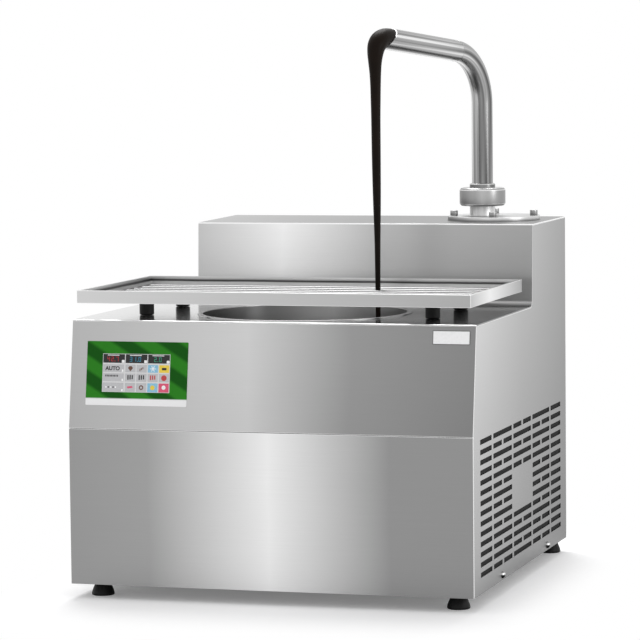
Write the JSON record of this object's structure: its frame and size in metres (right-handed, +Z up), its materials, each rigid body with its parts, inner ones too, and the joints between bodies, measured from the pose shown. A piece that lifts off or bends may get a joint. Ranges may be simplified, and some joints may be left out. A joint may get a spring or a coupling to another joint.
{
  "type": "chocolate tempering machine",
  "caption": "Countertop chocolate tempering machine: steel cabinet with a heated bowl, a bent pouring spout over a lift-off moulding frame, and a touch panel on the leaning front.",
  "frame": {"origin": "middle of the outline on the ground, under the levelling feet", "axes": "+Z up, +Y towards the back, +X towards the right seen from the front"},
  "size_m": [0.5678, 0.578, 0.764],
  "materials": {
    "steel_sheet": "brushed",
    "polished_steel": "polished",
    "black_rubber": "matte",
    "white_seal": "matte",
    "heater_silicone": "matte",
    "insulation": "matte",
    "filter_mat": "matte",
    "chocolate": "glossy",
    "touch_glass": "glossy",
    "badge_plastic": "satin",
    "dark_plastic": "matte",
    "rocker_plastic": "glossy",
    "circuit_board": "satin",
    "supply_case": "satin",
    "cast_metal": "cast",
    "motor_paint": "satin",
    "compressor_shell": "black enamel",
    "fin_aluminium": "matte",
    "copper": "satin"
  },
  "bodies": {
    "cabinet": {"base_pan": "steel_sheet", "front_lower_panel": "steel_sheet", "front_upper_panel": "steel_sheet", "deck_panel": "steel_sheet", "hump_cover": "steel_sheet", "left_side_panel": "steel_sheet", "right_side_panel": "steel_sheet", "rear_panel": "steel_sheet", "motor_bridge": "steel_sheet", "flange_plate": "steel_sheet", "fan_shroud": "steel_sheet", "bowl": "steel_sheet", "feed_pipe": "steel_sheet", "pump_housing": "steel_sheet", "flange_screws": "polished_steel", "panel_screws": "polished_steel", "foot_nuts": "polished_steel", "compressor_mounts": "black_rubber", "bowl_seal": "white_seal", "union_gasket": "white_seal", "bowl_heater": "heater_silicone", "bowl_insulation": "insulation", "air_filter": "filter_mat", "chocolate_fill": "chocolate", "touch_overlay": "touch_glass", "badge": "badge_plastic", "display_module": "dark_plastic", "power_inlet": "dark_plastic", "main_switch_body": "dark_plastic", "control_board": "circuit_board", "power_supply": "supply_case", "pump_bearing_block": "cast_metal", "pump_gearbox": "cast_metal", "stirrer_gearbox": "cast_metal", "pump_motor": "motor_paint", "stirrer_motor": "motor_paint", "fan_motor": "motor_paint", "compressor": "compressor_shell", "condenser": "fin_aluminium", "cooling_coil": "copper", "filter_drier": "copper", "refrigerant_lines": "copper"},
    "stirrer": {"stirrer": "steel_sheet", "stirrer_shaft": "steel_sheet"},
    "pump_rotor": {"pump_screw": "steel_sheet", "pump_coupling": "polished_steel"},
    "fan": {"fan_blade": "dark_plastic"},
    "spout": {"spout_tube": "polished_steel", "spout_collar": "polished_steel", "chocolate_stream": "chocolate"},
    "spout_nut": {"union_nut": "polished_steel"},
    "moulding_frame": {"tray_frame": "steel_sheet", "tray_grid": "steel_sheet", "tray_feet": "black_rubber", "tray_screws": "polished_steel"},
    "mains_rocker": {"main_switch_rocker": "rocker_plastic"},
    "levelling_front_left": {"foot_front_left": "black_rubber"},
    "levelling_front_right": {"foot_front_right": "black_rubber"},
    "levelling_rear_left": {"foot_rear_left": "black_rubber"},
    "levelling_rear_right": {"foot_rear_right": "black_rubber"}
  },
  "joints": [
    {"name": "stirrer_spin", "type": "hinge", "parent": "cabinet", "child": "stirrer", "pos_m": [0, -0.097, 0.25], "axis": [0, 0, 1], "continuous": true},
    {"name": "pump_spin", "type": "hinge", "parent": "cabinet", "child": "pump_rotor", "pos_m": [0.1809, 0.188, 0.3], "axis": [0, 0, 1], "continuous": true},
    {"name": "fan_spin", "type": "hinge", "parent": "cabinet", "child": "fan", "pos_m": [0.21, -0.105, 0.123], "axis": [1, 0, 0], "continuous": true},
    {"name": "spout_swivel", "type": "hinge", "parent": "cabinet", "child": "spout", "pos_m": [0.1809, 0.188, 0.53], "axis": [0, 0, 1], "range_deg": [-14, 7], "deforming": ["chocolate_stream"]},
    {"name": "spout_nut_turn", "type": "hinge", "parent": "cabinet", "child": "spout_nut", "pos_m": [0.1809, 0.188, 0.523], "axis": [0, 0, 1], "range_deg": [0, 540]},
    {"name": "frame_lift", "type": "slide", "parent": "cabinet", "child": "moulding_frame", "axis": [0, 0, 1], "range_m": [0, 0.15]},
    {"name": "mains_rocker_tilt", "type": "hinge", "parent": "cabinet", "child": "mains_rocker", "pos_m": [-0.135, 0.28, 0.08], "axis": [1, 0, 0], "range_deg": [-16, 0]},
    {"name": "levelling_turn_front_left", "type": "hinge", "parent": "cabinet", "child": "levelling_front_left", "pos_m": [-0.249, -0.235, 0.02], "axis": [0, 0, 1], "range_deg": [-180, 180]},
    {"name": "levelling_turn_front_right", "type": "hinge", "parent": "cabinet", "child": "levelling_front_right", "pos_m": [0.249, -0.235, 0.02], "axis": [0, 0, 1], "range_deg": [-180, 180]},
    {"name": "levelling_turn_rear_left", "type": "hinge", "parent": "cabinet", "child": "levelling_rear_left", "pos_m": [-0.259, 0.268, 0.02], "axis": [0, 0, 1], "range_deg": [-180, 180]},
    {"name": "levelling_turn_rear_right", "type": "hinge", "parent": "cabinet", "child": "levelling_rear_right", "pos_m": [0.259, 0.268, 0.02], "axis": [0, 0, 1], "range_deg": [-180, 180]}
  ]
}
